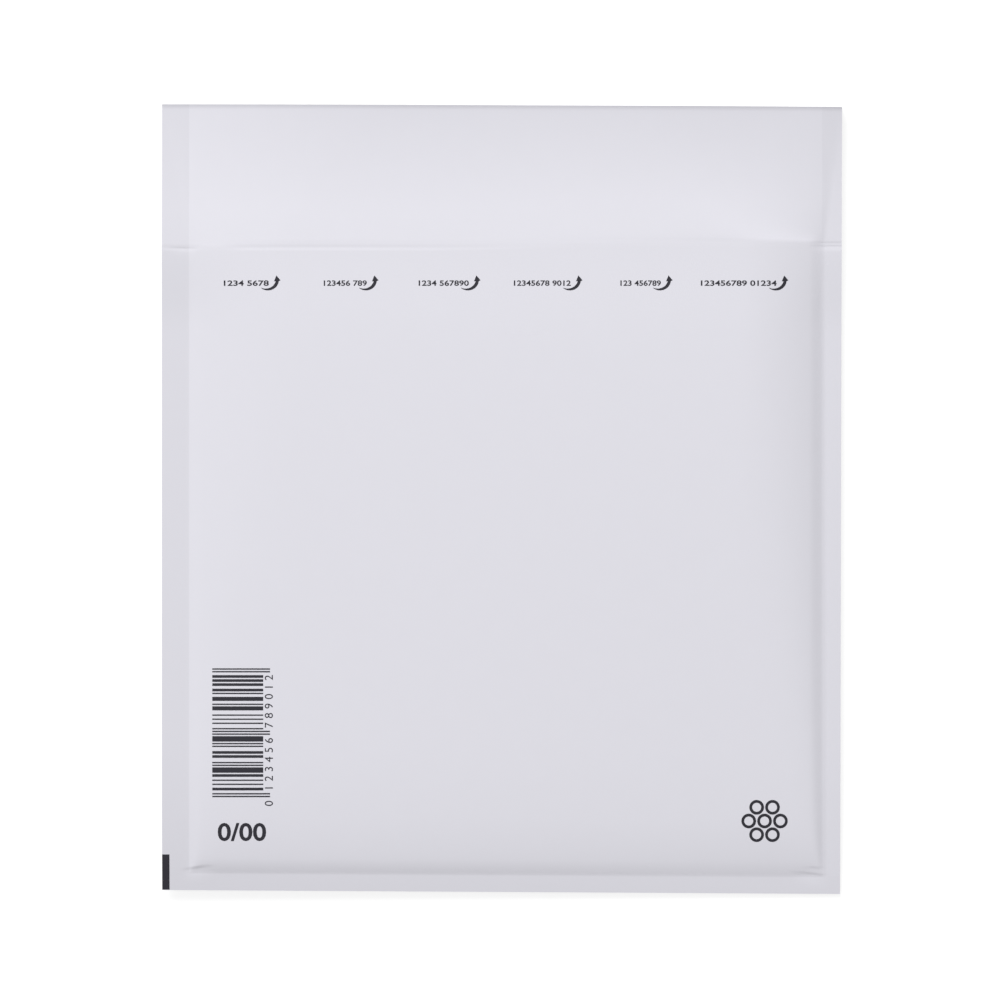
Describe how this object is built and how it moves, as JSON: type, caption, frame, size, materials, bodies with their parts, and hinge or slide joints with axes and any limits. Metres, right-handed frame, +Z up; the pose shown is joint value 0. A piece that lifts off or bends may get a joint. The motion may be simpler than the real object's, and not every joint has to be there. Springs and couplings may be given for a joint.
{
  "type": "padded envelope",
  "caption": "Rectangular white paper mailing envelope with an air-bubble film lining, glued side seams and an open self-seal flap, lying on its back.",
  "frame": {"origin": "centre of the bounding box on the surface that the envelope lies on", "axes": "+X across the width, +Y from the bottom seam to the flap's tip, +Z up, square to the front panel"},
  "size_m": [0.24, 0.278, 0.011],
  "materials": {
    "white_kraft_paper": "matt, machine-finished white kraft",
    "bubble_film": "clear polyethylene film, glossy and hazy",
    "hot_melt_adhesive": "tacky, translucent pale amber",
    "siliconed_paper": "smooth, slightly glossy silicone release coating"
  },
  "bodies": {
    "root": {"outer_cover": "white_kraft_paper", "bubble_lining": "bubble_film", "adhesive_strip": "hot_melt_adhesive", "release_liner": "siliconed_paper"}
  },
  "joints": []
}
